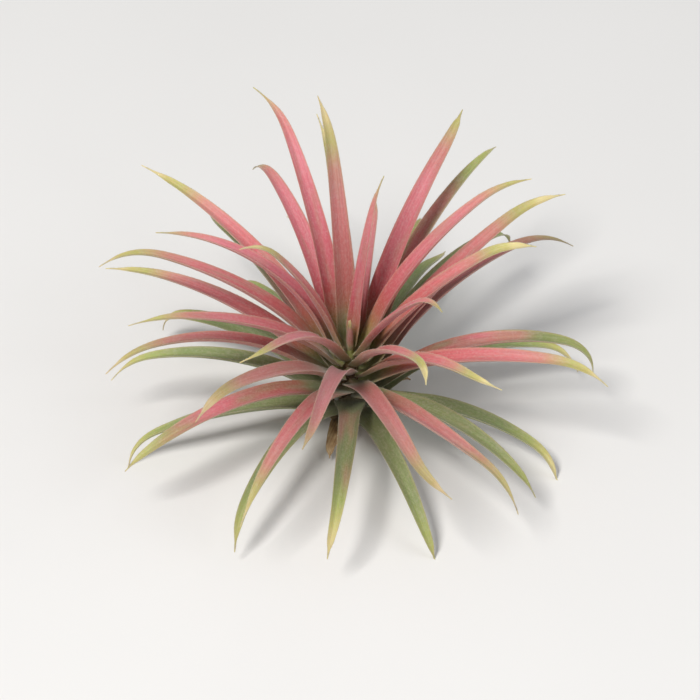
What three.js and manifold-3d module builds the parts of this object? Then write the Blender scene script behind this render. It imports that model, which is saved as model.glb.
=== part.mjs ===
// A sky plant, which is a small air plant, standing on a table as it is lifted out of its tray.
// A short stem with wiry roots carries one spiral of channelled leaves, youngest on top.
// Each leaf starts in a sheath that hugs the younger ones, so the sheaths build a small bulb.
// Its blade then arches away: steep in the heart, drooping to the table at the foot.
// The frame is +Z up, in millimetres. The origin is the middle of the stem's flat underside.
import * as THREE from "three";
import { mergeVertices } from "three/addons/utils/BufferGeometryUtils.js";
import Module from "manifold-3d";

const wasm = await Module();
wasm.setup();

// The spiral of leaves. Angles are in degrees throughout.
const LEAF_COUNT = 46;
const DRY_COUNT = 5;
const GOLDEN_ANGLE = 137.508;
const FIRST_AZIMUTH = 52;

// The stem and its roots.
const STEM_HEIGHT = 27;
const STEM_FOOT_RADIUS = 4.2;
const STEM_TOP_RADIUS = 0.9;
const BUD_LENGTH = 9;
const BUD_SHOULDER = 3;
const BUD_RADIUS = 0.8;
const BUD_TIP_RADIUS = 0.3;
const STEM_BEVEL = 0.5;
const STEM_SIDES = 20;
const ROOT_COUNT = 7;
const ROOT_RADIUS = 0.6;
const ROOT_SIDES = 6;
const ROOT_STEPS = 9;
const ROOT_REACH = 13;
const ROOT_SINK = 1.6;
const ROOT_WIGGLE = 1.6;
const ROOT_BENDS = 3;
const ROOT_TURN_SPREAD = 0.25;
const ROOT_REACH_SPREAD = 0.2;
const ROOT_LIFT = 0.15;

// The bulb that the leaf sheaths build. Neighbours keep a small clearance.
const CLEARANCE = 0.35;
const YOUNGEST_FOOT_Z = 26.6;
const FOOT_STEP = 0.495;
const BULB_CORE = 1.7;
const BULB_SPREAD = 1.6;
const FLARE_SLANT = 0.85;
const FLARE_RISE = 1;
const SHEATH_WIDTH = 10.5;
const HEART_SHEATH_WIDTH = 5.6;
const SHEATH_REACH = 34;
const HEART_REACH = 56;
const HEART_LEAVES = 9;
const NARROW_LEAVES = 4;
const FOOT_NARROWING = 0.52;

// The blades.
const BLADE_LENGTH = 80;
const HEART_SHORTFALL = 0.42;
const HEART_SPAN = 2.5;
const FOOT_SHORTFALL = 0.2;
const BLADE_WIDTH = 6.5;
const HEART_WIDTH = 3.9;
const TIP_WIDTH = 0.8;
const TAPER = 1.6;
const TAPER_ROUNDING = 0.6;
const CHANNEL = 50;
const TIP_CHANNEL = 34;
const RIB_THICKNESS = 1.15;
const EDGE_THICKNESS = 0.6;

// How the leaves stand. A tilt is measured from upright, and the crown leans to one side.
const HEART_TILT = 26;
const FOOT_TILT = 96;
const TILT_GROWTH = 0.75;
const HEART_WAIST = 0.4;
const FOOT_WAIST = 0.66;
const LEAN = 11;
const LEAN_AZIMUTH = 270;
const WAIST_LEAN = 1.2;

// How much the leaves vary. The old ones have grown further out of line than the young ones.
const TILT_SPREAD = 3;
const BEND = 1.15;
const BEND_SPREAD = 0.35;
const LENGTH_SPREAD = 0.06;
const YOUNG_DRIFT = 7;
const OLD_DRIFT = 20;
const YOUNG_ROLL = 14;
const OLD_ROLL = 30;
const CURL = 24;
const CURL_SPREAD = 34;
const HOOK_SPREAD = 32;

// The dry old leaves at the foot of the bulb.
const DRY_LENGTH = 17;
const DRY_LENGTH_SPREAD = 0.2;
const DRY_TILT = 100;

// The traits that are drawn for each leaf and root.
const TRAIT = {
  tilt: 1,
  bend: 2,
  length: 3,
  drift: 4,
  roll: 5,
  curl: 6,
  hook: 7,
  dryLength: 8,
  rootTurn: 21,
  rootReach: 22,
  rootSway: 23,
};

// Where a leaf changes, from -1 at its foot over 0 at the bulb's edge to 1 at its tip.
const SHEATH_FULL = -0.4;
const SHEATH_THIN = -0.3;
const RIB_STARTS = 0.1;
const NECK_END = 0.25;
const CHANNEL_FULL = 0.3;
const RIB_FADES = 0.3;
const HOOK_START = 0.76;
const HOOK_END = 1.05;
const TIP_START = 0.8;
const LEAST_HUG = 0.02;

// A blade is followed in fine steps, and its solid has rings at some of them.
const FLARE_STEPS = 24;
const BLADE_STEPS = 120;
const FLARE_RINGS = [0, 7, 15, 24];
const BLADE_RINGS = [11, 23, 35, 47, 59, 71, 83, 95, 106, 114, 120];
const ACROSS = 5;
const SETTLING_ROUNDS = 30;
const WELD = 1e-4;

// The plain colours. From one leaf on they turn from pink to green.
const FIRST_GREENING = 15;
const ROUGHNESS = 0.75;
const LEAF_PINK = 0xc8707a;
const LEAF_GREEN = 0x83935f;
const DRY_BROWN = 0x9a7650;
const STEM_BROWN = 0x7c6748;

// Leaves that stand out of line, as they do on any grown plant.
const NUDGES = {
  0: { turn: 9, length: 1.17, curl: 5 },
  1: { length: 0.9, width: 0.95 },
  2: { length: 0.72, width: 0.9 },
  3: { turn: -3, tilt: -1, curl: 10 },
  4: { width: 0.82 },
  5: { turn: -2, tilt: 6, length: 0.97, curl: 8 },
  6: { turn: 18, tilt: 9, length: 0.95, curl: 12 },
  7: { length: 0.85, width: 0.82 },
  8: { turn: -2, length: 0.58, width: 0.75 },
  9: { tilt: 6, length: 0.94, curl: 40 },
  10: { turn: 14, tilt: -7, length: 0.8 },
  11: { turn: -9, tilt: -2, length: 1.03, curl: 4 },
  12: { width: 0.9 },
  13: { turn: 11, tilt: -2, width: 1.06, curl: 6 },
  15: { tilt: -5, length: 0.85 },
  16: { turn: 2, length: 0.84 },
  17: { tilt: -4, length: 0.85 },
  18: { turn: 7, tilt: -15, length: 1.05 },
  21: { turn: -8, tilt: -5, length: 1.06 },
  29: { turn: -11, length: 0.8 },
};

const DEG = Math.PI / 180;
const lerp = (from, to, share) => from + (to - from) * share;

// A smooth step from 0 at one value to 1 at another.
function ramp(from, to, value) {
  const share = Math.min(1, Math.max(0, (value - from) / (to - from)));
  return share * share * (3 - 2 * share);
}

// A repeatable draw from -1 to 1 for one trait of one leaf or root.
function draw(index, trait) {
  const wave = Math.sin(index * 12.9898 + trait * 78.233 + 4.1) * 43758.5453;
  return 2 * (wave - Math.floor(wave)) - 1;
}

function stemRadius(z) {
  return lerp(STEM_FOOT_RADIUS, STEM_TOP_RADIUS, Math.min(1, z / STEM_HEIGHT));
}

// What sets leaf i apart. The dry leaves carry on the same spiral below the last green one.
function habitOf(i) {
  const age = i / (LEAF_COUNT - 1);
  const dry = i >= LEAF_COUNT;
  const own = NUDGES[i] ?? {};
  const azimuth = FIRST_AZIMUTH + i * GOLDEN_ANGLE;
  const lean = dry ? 0 : LEAN * (1 - age * age) * Math.cos((azimuth - LEAN_AZIMUTH) * DEG);
  const settled = dry ? DRY_TILT : lerp(HEART_TILT, FOOT_TILT, age ** TILT_GROWTH) + lean;
  const tilt = settled + TILT_SPREAD * draw(i, TRAIT.tilt) + (own.tilt ?? 0);
  const waist = lerp(HEART_WAIST, FOOT_WAIST, Math.min(1, age)) * settled + WAIST_LEAN * Math.max(0, lean);
  const bend = BEND + BEND_SPREAD * draw(i, TRAIT.bend);
  const footZ = YOUNGEST_FOOT_Z - FOOT_STEP * i;
  const grown = 1 - HEART_SHORTFALL * Math.exp(-i / HEART_SPAN) - FOOT_SHORTFALL * age * age;
  const dryLength = DRY_LENGTH * (1 + DRY_LENGTH_SPREAD * draw(i, TRAIT.dryLength));
  const full = dry ? dryLength : BLADE_LENGTH * grown;
  return {
    azimuth: azimuth + (own.turn ?? 0),
    footZ,
    footR: stemRadius(footZ) + CLEARANCE,
    bulbR: BULB_CORE + BULB_SPREAD * Math.sqrt(i),
    reach: lerp(HEART_REACH, SHEATH_REACH, ramp(0, HEART_LEAVES, i)),
    waist,
    bend,
    tip: waist + (tilt - waist) * (bend + 1),
    length: full * (1 + LENGTH_SPREAD * draw(i, TRAIT.length)) * (own.length ?? 1),
    width: lerp(HEART_WIDTH, BLADE_WIDTH, ramp(-1, NARROW_LEAVES, i)) * (own.width ?? 1),
    sheath: lerp(HEART_SHEATH_WIDTH, SHEATH_WIDTH, Math.min(1, age)) * (own.width ?? 1),
    drift: lerp(YOUNG_DRIFT, OLD_DRIFT, age) * draw(i, TRAIT.drift),
    roll: lerp(YOUNG_ROLL, OLD_ROLL, age) * draw(i, TRAIT.roll),
    curl: own.curl ?? CURL + CURL_SPREAD * draw(i, TRAIT.curl),
    hook: HOOK_SPREAD * draw(i, TRAIT.hook),
  };
}

// The frames along a leaf's middle line, from its foot on the stem to its tip.
// u runs from -1 at the foot to 0 where the blade leaves the bulb, and to 1 at the tip.
function midline(habit) {
  const frames = [];
  const out = habit.azimuth * DEG;
  const rise = habit.bulbR - habit.footR;
  const height = FLARE_SLANT * Math.abs(rise) + FLARE_RISE;
  const end = Math.atan2(Math.abs(rise), height * Math.tan(habit.waist * DEG));
  for (let k = 0; k <= FLARE_STEPS; k++) {
    const turn = (end * k) / FLARE_STEPS;
    const r = habit.footR + rise * Math.sin(turn);
    frames.push({
      x: r * Math.cos(out),
      y: r * Math.sin(out),
      z: habit.footZ + height * (1 - Math.cos(turn)),
      r,
      tilt: Math.atan2(rise * Math.cos(turn), height * Math.sin(turn)),
      heading: out,
      roll: 0,
      u: k / FLARE_STEPS - 1,
    });
  }
  const bearing = (u) => {
    const hooked = ramp(HOOK_START, HOOK_END, u);
    const tilt = lerp(habit.waist, habit.tip, u ** habit.bend) + habit.curl * hooked;
    const heading = habit.azimuth + habit.drift * u + habit.hook * hooked;
    return { tilt: tilt * DEG, heading: heading * DEG };
  };
  const step = habit.length / BLADE_STEPS;
  let { x, y, z } = frames[FLARE_STEPS];
  for (let k = 1; k <= BLADE_STEPS; k++) {
    const { tilt, heading } = bearing((k - 0.5) / BLADE_STEPS);
    x += step * Math.sin(tilt) * Math.cos(heading);
    y += step * Math.sin(tilt) * Math.sin(heading);
    z += step * Math.cos(tilt);
    const u = k / BLADE_STEPS;
    frames.push({ x, y, z, r: Math.hypot(x, y), ...bearing(u), roll: habit.roll * u * DEG, u });
  }
  return frames;
}

// The leaf's width, the half angle of its channel and its thickness at a frame.
function sectionAt(habit, { r, tilt, u }) {
  const reach = 2 * r * Math.sin(habit.reach * DEG);
  const sheath = Math.min(reach, habit.sheath);
  const taper = (1 - Math.max(0, u) ** TAPER) ** TAPER_ROUNDING;
  const blade = Math.max(TIP_WIDTH, habit.width * taper);
  const low = sheath * lerp(FOOT_NARROWING, 1, ramp(-1, SHEATH_FULL, u));
  const high = Math.min(reach, lerp(Math.max(sheath, blade), blade, ramp(0, NECK_END, u)));
  const width = u <= 0 ? low : high;
  const hug = Math.asin((width / 2 / r) * Math.max(LEAST_HUG, Math.cos(tilt)));
  const channel = lerp(CHANNEL, TIP_CHANNEL, ramp(TIP_START, 1, u)) * DEG;
  const thin = Math.max(ramp(RIB_FADES, 1, u), ramp(RIB_STARTS, SHEATH_THIN, u));
  return {
    width,
    channel: lerp(hug, channel, ramp(0, CHANNEL_FULL, u)),
    rib: lerp(RIB_THICKNESS, EDGE_THICKNESS, thin),
  };
}

// One ring of points round a leaf: its channelled upper face, then its rounded underside.
function ringAt(habit, frame) {
  const { width, channel, rib } = sectionAt(habit, frame);
  const { tilt, heading, roll } = frame;
  const level = new THREE.Vector3(Math.sin(heading), -Math.cos(heading), 0);
  const raised = new THREE.Vector3(
    -Math.cos(tilt) * Math.cos(heading),
    -Math.cos(tilt) * Math.sin(heading),
    Math.sin(tilt),
  );
  const side = level.clone().multiplyScalar(Math.cos(roll)).addScaledVector(raised, Math.sin(roll));
  const face = raised.clone().multiplyScalar(Math.cos(roll)).addScaledVector(level, -Math.sin(roll));
  const radius = width / 2 / Math.sin(channel);
  const ring = [];
  for (const facing of [1, -1]) {
    for (let j = 0; j < ACROSS; j++) {
      const across = (2 * j) / (ACROSS - 1) - 1;
      const keel = (rib - EDGE_THICKNESS) * (1 - across * across);
      const offset = facing > 0 ? EDGE_THICKNESS / 2 : -EDGE_THICKNESS / 2 - keel;
      const point = new THREE.Vector3(frame.x, frame.y, frame.z);
      point.addScaledVector(side, (radius - offset) * Math.sin(across * channel));
      point.addScaledVector(face, radius - (radius - offset) * Math.cos(across * channel));
      ring.push(point);
    }
  }
  return ring;
}

// Rings joined into one closed body. Both faces are cut along the same diagonals.
function bodyOf(rings) {
  const index = [];
  const edge = ACROSS - 1;
  const last = rings.length - 1;
  const upper = (k, j) => k * 2 * ACROSS + j;
  const under = (k, j) => upper(k, j) + ACROSS;
  const quad = (a, b, c, d) => index.push(a, b, c, a, c, d);
  for (let k = 0; k < last; k++) {
    for (let j = 0; j < edge; j++) {
      if (j < edge / 2) {
        quad(upper(k, j), upper(k, j + 1), upper(k + 1, j + 1), upper(k + 1, j));
        quad(under(k, j), under(k + 1, j), under(k + 1, j + 1), under(k, j + 1));
      } else {
        quad(upper(k, j + 1), upper(k + 1, j + 1), upper(k + 1, j), upper(k, j));
        quad(under(k, j + 1), under(k, j), under(k + 1, j), under(k + 1, j + 1));
      }
    }
    quad(upper(k, 0), upper(k + 1, 0), under(k + 1, 0), under(k, 0));
    quad(upper(k, edge), under(k, edge), under(k + 1, edge), upper(k + 1, edge));
  }
  for (let j = 0; j < edge; j++) {
    quad(upper(0, j), under(0, j), under(0, j + 1), upper(0, j + 1));
    quad(upper(last, j), upper(last, j + 1), under(last, j + 1), under(last, j));
  }
  const geometry = new THREE.BufferGeometry().setFromPoints(rings.flat());
  geometry.setIndex(index);
  return geometry;
}

const lowest = (rings) => Math.min(...rings.flat().map((point) => point.z));

function ringsOf(habit) {
  const frames = midline(habit);
  const picked = [...FLARE_RINGS, ...BLADE_RINGS.map((k) => FLARE_STEPS + k)];
  return picked.map((k) => ringAt(habit, frames[k]));
}

// A leaf that would reach below the table is held up by it: its tip droops only until it touches.
function settle(habit) {
  if (lowest(ringsOf(habit)) >= 0) return habit;
  let high = habit.waist;
  let low = habit.tip;
  for (let round = 0; round < SETTLING_ROUNDS; round++) {
    const middle = (high + low) / 2;
    if (lowest(ringsOf({ ...habit, tip: middle })) < 0) low = middle;
    else high = middle;
  }
  return { ...habit, tip: high };
}

// A closed mesh as a solid that can be joined, and back again.
function solidOf(geometry) {
  geometry.deleteAttribute("normal");
  geometry.deleteAttribute("uv");
  const merged = mergeVertices(geometry, WELD);
  const vertProperties = merged.getAttribute("position").array;
  const triVerts = new Uint32Array(merged.getIndex().array);
  return new wasm.Manifold(new wasm.Mesh({ numProp: 3, vertProperties, triVerts }));
}

function geometryOf(solid) {
  const { vertProperties, triVerts } = solid.getMesh();
  const geometry = new THREE.BufferGeometry();
  geometry.setAttribute("position", new THREE.BufferAttribute(vertProperties, 3));
  geometry.setIndex(new THREE.BufferAttribute(triVerts, 1));
  return geometry;
}

// The stem: a flat foot, a taper that carries every leaf, and the closed bud of the next leaves on top.
function stemCore() {
  const profile = [
    new THREE.Vector2(0, 0),
    new THREE.Vector2(STEM_FOOT_RADIUS - STEM_BEVEL, 0),
    new THREE.Vector2(stemRadius(STEM_BEVEL), STEM_BEVEL),
    new THREE.Vector2(STEM_TOP_RADIUS, STEM_HEIGHT),
    new THREE.Vector2(BUD_RADIUS, STEM_HEIGHT + BUD_SHOULDER),
    new THREE.Vector2(BUD_TIP_RADIUS, STEM_HEIGHT + BUD_LENGTH - BUD_TIP_RADIUS),
    new THREE.Vector2(0, STEM_HEIGHT + BUD_LENGTH),
  ];
  return new THREE.LatheGeometry(profile, STEM_SIDES).rotateX(Math.PI / 2);
}

// A wiry root: it leaves the stem just above the table and wanders outwards along it.
function root(index) {
  const azimuth = (360 / ROOT_COUNT) * (index + ROOT_TURN_SPREAD * draw(index, TRAIT.rootTurn)) * DEG;
  const reach = ROOT_REACH * (1 + ROOT_REACH_SPREAD * draw(index, TRAIT.rootReach));
  const out = new THREE.Vector3(Math.cos(azimuth), Math.sin(azimuth), 0);
  const aside = new THREE.Vector3(-out.y, out.x, 0);
  const start = STEM_FOOT_RADIUS - ROOT_SINK;
  const points = [];
  for (let k = 0; k <= ROOT_BENDS; k++) {
    const share = k / ROOT_BENDS;
    const sway = ROOT_WIGGLE * draw(index, TRAIT.rootSway + k) * share;
    const point = out.clone().multiplyScalar(lerp(start, reach, share)).addScaledVector(aside, sway);
    points.push(point.setZ(ROOT_RADIUS + ROOT_LIFT));
  }
  const section = new THREE.Shape(
    new THREE.Path().absarc(0, 0, ROOT_RADIUS, 0, 2 * Math.PI).getSpacedPoints(ROOT_SIDES),
  );
  return new THREE.ExtrudeGeometry(section, {
    steps: ROOT_STEPS,
    extrudePath: new THREE.CatmullRomCurve3(points),
  });
}

function stemGeometry() {
  let solid = solidOf(stemCore());
  for (let index = 0; index < ROOT_COUNT; index++) solid = solid.add(solidOf(root(index)));
  return geometryOf(solid);
}

const plant = new THREE.Group();

function add(name, geometry, color) {
  const material = new THREE.MeshStandardMaterial({ color, roughness: ROUGHNESS, metalness: 0 });
  const mesh = new THREE.Mesh(geometry, material);
  mesh.name = name;
  plant.add(mesh);
}

add("stem", stemGeometry(), STEM_BROWN);

for (let i = 0; i < LEAF_COUNT; i++) {
  const shade = new THREE.Color(LEAF_PINK).lerp(new THREE.Color(LEAF_GREEN), ramp(FIRST_GREENING, LEAF_COUNT, i));
  add(`leaf_${String(i + 1).padStart(2, "0")}`, bodyOf(ringsOf(settle(habitOf(i)))), shade);
}

for (let i = 0; i < DRY_COUNT; i++) {
  add(`dry_leaf_${i + 1}`, bodyOf(ringsOf(settle(habitOf(LEAF_COUNT + i)))), DRY_BROWN);
}

export default plant;
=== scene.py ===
"""The looks of the sky plant: fine leaves, dry leaves, a stem and roots in place of the plain solids.

Every leaf follows the same rule as its solid, with more stations along it and across it, thinner
margins and a thread tip, and the living ones have silver scales. Angles are in degrees and lengths
in millimetres until a mesh is made, which is in metres, as the set is.
"""
import math

import bpy
import numpy as np
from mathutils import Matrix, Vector


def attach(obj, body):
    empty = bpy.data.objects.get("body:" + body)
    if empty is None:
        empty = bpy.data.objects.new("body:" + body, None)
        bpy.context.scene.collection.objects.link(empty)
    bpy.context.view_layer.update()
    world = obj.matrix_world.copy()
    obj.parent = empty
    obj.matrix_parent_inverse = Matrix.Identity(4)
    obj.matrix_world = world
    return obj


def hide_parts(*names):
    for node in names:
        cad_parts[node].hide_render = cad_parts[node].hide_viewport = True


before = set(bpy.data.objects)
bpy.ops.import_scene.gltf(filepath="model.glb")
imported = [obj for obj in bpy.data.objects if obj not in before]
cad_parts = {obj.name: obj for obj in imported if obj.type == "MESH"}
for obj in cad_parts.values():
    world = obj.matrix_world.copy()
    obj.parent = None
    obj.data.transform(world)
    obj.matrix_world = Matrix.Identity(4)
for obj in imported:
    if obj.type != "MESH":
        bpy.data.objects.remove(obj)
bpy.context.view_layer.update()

MM = 0.001
DEG = math.pi / 180

# The spiral of leaves, as in the solids.
LEAF_COUNT = 46
PINK_LEAVES = 24
DRY_COUNT = 5
GOLDEN_ANGLE = 137.508
FIRST_AZIMUTH = 52

# The stem and its roots, as in the solids.
STEM_HEIGHT = 27
STEM_FOOT_RADIUS = 4.2
STEM_TOP_RADIUS = 0.9
STEM_BEVEL = 0.5
ROOT_COUNT = 7
ROOT_RADIUS = 0.6
ROOT_REACH = 13
ROOT_SINK = 1.6
ROOT_WIGGLE = 1.6
ROOT_BENDS = 3
ROOT_TURN_SPREAD = 0.25
ROOT_REACH_SPREAD = 0.2
ROOT_LIFT = 0.15

# The bulb and the blades, as in the solids.
CLEARANCE = 0.35
YOUNGEST_FOOT_Z = 26.6
FOOT_STEP = 0.495
BULB_CORE = 1.7
BULB_SPREAD = 1.6
FLARE_SLANT = 0.85
FLARE_RISE = 1
SHEATH_WIDTH = 10.5
HEART_SHEATH_WIDTH = 5.6
SHEATH_REACH = 34
HEART_REACH = 56
HEART_LEAVES = 9
NARROW_LEAVES = 4
FOOT_NARROWING = 0.52
BLADE_LENGTH = 80
HEART_SHORTFALL = 0.42
HEART_SPAN = 2.5
FOOT_SHORTFALL = 0.2
BLADE_WIDTH = 6.5
HEART_WIDTH = 3.9
TIP_WIDTH = 0.8
TAPER = 1.6
TAPER_ROUNDING = 0.6
CHANNEL = 50
TIP_CHANNEL = 34
LEAST_HUG = 0.02
RIB_THICKNESS = 1.15
EDGE_THICKNESS = 0.6
HEART_TILT = 26
FOOT_TILT = 96
TILT_GROWTH = 0.75
HEART_WAIST = 0.4
FOOT_WAIST = 0.66
LEAN = 11
LEAN_AZIMUTH = 270
WAIST_LEAN = 1.2
DRY_LENGTH = 17
DRY_LENGTH_SPREAD = 0.2
DRY_TILT = 100

# How much the leaves vary, as in the solids.
TILT_SPREAD = 3
BEND = 1.15
BEND_SPREAD = 0.35
LENGTH_SPREAD = 0.06
YOUNG_DRIFT = 7
OLD_DRIFT = 20
YOUNG_ROLL = 14
OLD_ROLL = 30
CURL = 24
CURL_SPREAD = 34
HOOK_SPREAD = 32

# The traits that are drawn for each leaf and root. Those up to root_sway shape the solids too.
TRAIT = {
    "tilt": 1,
    "bend": 2,
    "length": 3,
    "drift": 4,
    "roll": 5,
    "curl": 6,
    "hook": 7,
    "dry_length": 8,
    "root_turn": 21,
    "root_reach": 22,
    "root_sway": 23,
    "wrinkle": 31,
    "shade": 41,
    "warmth": 42,
    "blunt": 43,
}

# What makes a draw repeatable, as in the solids.
DRAW_STEP = 12.9898
DRAW_TRAIT_STEP = 78.233
DRAW_START = 4.1
DRAW_SCALE = 43758.5453

# Where a leaf changes, from -1 at its foot over 0 at the bulb's edge to 1 at its tip.
SHEATH_FULL = -0.4
SHEATH_THIN = -0.3
RIB_STARTS = 0.1
NECK_END = 0.25
CHANNEL_FULL = 0.3
RIB_FADES = 0.3
HOOK_START = 0.76
HOOK_END = 1.05
TIP_START = 0.8

# The stations along a leaf, those of them that its solid has, and how a leaf is laid on the table.
FLARE_STEPS = 24
BLADE_STEPS = 120
FLARE_RINGS = [0, 7, 15, 24]
BLADE_RINGS = [11, 23, 35, 47, 59, 71, 83, 95, 106, 114, 120]
COARSE_ACROSS = 5
SETTLING_ROUNDS = 30

# Leaves that stand out of line, as in the solids.
NUDGES = {
    0: {"turn": 9, "length": 1.17, "curl": 5},
    1: {"length": 0.9, "width": 0.95},
    2: {"length": 0.72, "width": 0.9},
    3: {"turn": -3, "tilt": -1, "curl": 10},
    4: {"width": 0.82},
    5: {"turn": -2, "tilt": 6, "length": 0.97, "curl": 8},
    6: {"turn": 18, "tilt": 9, "length": 0.95, "curl": 12},
    7: {"length": 0.85, "width": 0.82},
    8: {"turn": -2, "length": 0.58, "width": 0.75},
    9: {"tilt": 6, "length": 0.94, "curl": 40},
    10: {"turn": 14, "tilt": -7, "length": 0.8},
    11: {"turn": -9, "tilt": -2, "length": 1.03, "curl": 4},
    12: {"width": 0.9},
    13: {"turn": 11, "tilt": -2, "width": 1.06, "curl": 6},
    15: {"tilt": -5, "length": 0.85},
    16: {"turn": 2, "length": 0.84},
    17: {"tilt": -4, "length": 0.85},
    18: {"turn": 7, "tilt": -15, "length": 1.05},
    21: {"turn": -8, "tilt": -5, "length": 1.06},
    29: {"turn": -11, "length": 0.8},
}

# Leaves in the crown with looks of their own: how pink, light and warm they are, and how blunt. Two of them,
# 6 and 21, are made lighter as painted light, where the lamps leave them in shade.
LOOKS = {
    0: {"shade": 0.8, "warmth": 0.1, "blunt": 0.0},
    3: {"pink": 0.72, "shade": 0.24, "warmth": 0.8, "blunt": 0.9},
    4: {"shade": 0.9, "warmth": 0.5},
    5: {"shade": 0.9, "blunt": 0.9},
    # Leaf 6's shade of 1.0 is painted light on a face that the lamps leave in shade.
    6: {"shade": 1.0, "warmth": 0.0, "blunt": 0.5},
    8: {"warmth": 0.0, "blunt": 0.0},
    10: {"shade": 0.9, "blunt": 1.0},
    11: {"shade": 0.9, "warmth": 0.0, "blunt": 0.0},
    13: {"shade": 0.45, "warmth": 0.3, "blunt": 1.0},
    18: {"shade": 0.4, "blunt": 0.9},
    # Leaf 21's shade of 2.0, past the usual 0 to 1, is painted light on a leaf that its neighbours shadow.
    21: {"pink": 0.3, "shade": 2.0, "blunt": 1.0},
}

# Between which ages the leaves lose their pink.
GREENING_START = 0.42
GREENING_END = 0.9

# The closed bud: the next leaves, still rolled up. Its solid is part of the stem's.
BUD_LEAVES = 4
BUD_LENGTH = 11
BUD_SHORTENING = 1.2
BUD_WIDTH = 1.8
BUD_RIB = 0.4
BUD_SINK = 0.2
BUD_FOOT_RADIUS = 0.8
BUD_WAIST_RADIUS = 0.95
BUD_STEP = 0.15
BUD_REACH = 75
BUD_WAIST = 2
BUD_TIP = -6
BUD_PINKNESS = 0.6
BUD_SCALES = 160

# What the fine leaves add to the solids: thin margins, a groove, and a tip that ends in a thread.
FINE_EDGE = 0.28
FINE_RIB = 1.1
GROOVE_DEPTH = 0.2
GROOVE_SHARE = 0.26
GROOVE_STARTS = 0.1
GROOVE_FULL = 0.3
GROOVE_FADES = 0.8
BLUNTING = 0.16
BLUNTEST = 1.6
LEAST_TAPER = 0.01
THREAD_STEPS = 3
THREAD_START = 0.88
BLUNT_THREAD_START = 0.955
THREAD_WIDTH = 0.28
THREAD_END = 0.6
TABLE_GAP = 0.05

# The wrinkles of a dry leaf: two waves that cross each other.
DRY_WRINKLE = 0.12
WRINKLE_WAVES = 19
WRINKLE_SLANT = 4
CROSS_WAVES = 0.37
CROSS_SLANT = 7

# The stations of a fine leaf, and the points of each: across from -1 to 1, and bulging up or down.
STATION_STRIDE = 2
TIP_STATIONS = 2 * THREAD_STEPS
RING_POINTS = 36
RING_TURN = -2 * math.pi * np.arange(RING_POINTS) / RING_POINTS
RING_ACROSS = np.cos(RING_TURN)[None, :]
RING_BULGE = (np.sign(np.sin(RING_TURN)) * np.sqrt(np.abs(np.sin(RING_TURN))))[None, :]

# What the leaf's material reads: the foot's share, how faces and leaves differ, and a scale's mark.
FOOT_SHARE = 0.1
FACE_SHARPNESS = 1.5
FACE_STEP = 2
LEAF_STEP = 3.7
SCALE_MARK = 3.0

# The silver scales on the skin.
SCALE_COUNT = 1100
SCALE_SIZE = (0.22, 0.42)
SCALE_FOOT = 0.045
SCALE_SINK = 0.03
SCALE_SWAY = 0.25
SCALE_FREE_RINGS = 12
SCALE_FREE_TIP = 3
SCALE_LOWEST = 0.6
FRINGE_SPREAD = 0.35
FRINGE_RISE = 0.9
FACE_RISE = 0.35
SPIKE_FACES = [[0, 2, 1], [0, 3, 2], [0, 1, 3], [1, 2, 3]]
LEAST_NORM = 1e-9

# The fine stem, with a scar under every leaf, and the fine roots, which taper and have knots.
STEM_STATIONS = 90
STEM_SIDES = 72
STEM_DOME = 0.5
STEM_DOME_RINGS = 5
SCAR_SIZE = 0.9
SCAR_DEPTH = 0.22
SCAR_FLATNESS = 1.6
SCAR_FREE_FOOT = 1.5
ROOT_STATIONS = 64
ROOT_SIDES = 10
ROOT_TIP_SHARE = 0.35
ROOT_TAPER = 1.5
ROOT_LYING = 0.5
KNOT_DEPTH = 0.1
KNOT_WAVES = (23, 41)

# The leaf's colours as they look in daylight, from 0 to 255, at places from its foot to its tip.
UPPER_COLOURS = [
    (0.0, (146, 154, 92)),
    (0.12, (154, 150, 84)),
    (0.175, (166, 130, 82)),
    (0.24, (176, 100, 80)),
    (0.325, (189, 89, 91)),
    (0.5, (201, 104, 111)),
    (0.7, (208, 121, 126)),
    (0.8, (202, 134, 124)),
    (0.86, (188, 162, 118)),
    (0.91, (180, 178, 104)),
    (0.97, (194, 186, 112)),
    (1.0, (220, 206, 146)),
]
UNDER_COLOURS = [
    (0.0, (166, 142, 108)),
    (0.05, (156, 150, 108)),
    (0.1, (148, 150, 94)),
    (0.18, (164, 146, 98)),
    (0.28, (180, 122, 100)),
    (0.42, (192, 112, 110)),
    (0.72, (198, 128, 126)),
    (0.83, (182, 148, 118)),
    (0.9, (176, 174, 110)),
    (0.97, (192, 184, 116)),
    (1.0, (216, 202, 146)),
]
OLD_COLOURS = [
    (0.0, (168, 146, 112)),
    (0.05, (158, 154, 116)),
    (0.12, (134, 142, 94)),
    (0.4, (124, 137, 89)),
    (0.7, (130, 145, 88)),
    (0.84, (158, 170, 94)),
    (0.94, (190, 186, 112)),
    (1.0, (216, 202, 140)),
]

# The noises in a leaf's skin: their stretch along and across it, then scale, detail and roughness.
LEAF_PATTERNS = {
    "washes": ((0.035, 0.16), (1.0, 2, 0.5)),
    "dusk": ((0.05, 0.3), (1.3, 1, 0.5)),
    "stripes": ((0.06, 2.6), (1.0, 3, 0.6)),
    "speckles": ((0.5, 1.0), (1.7, 3, 0.65)),
    "grains": ((0.6, 1.0), (5.5, 2, 0.7)),
}

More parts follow.
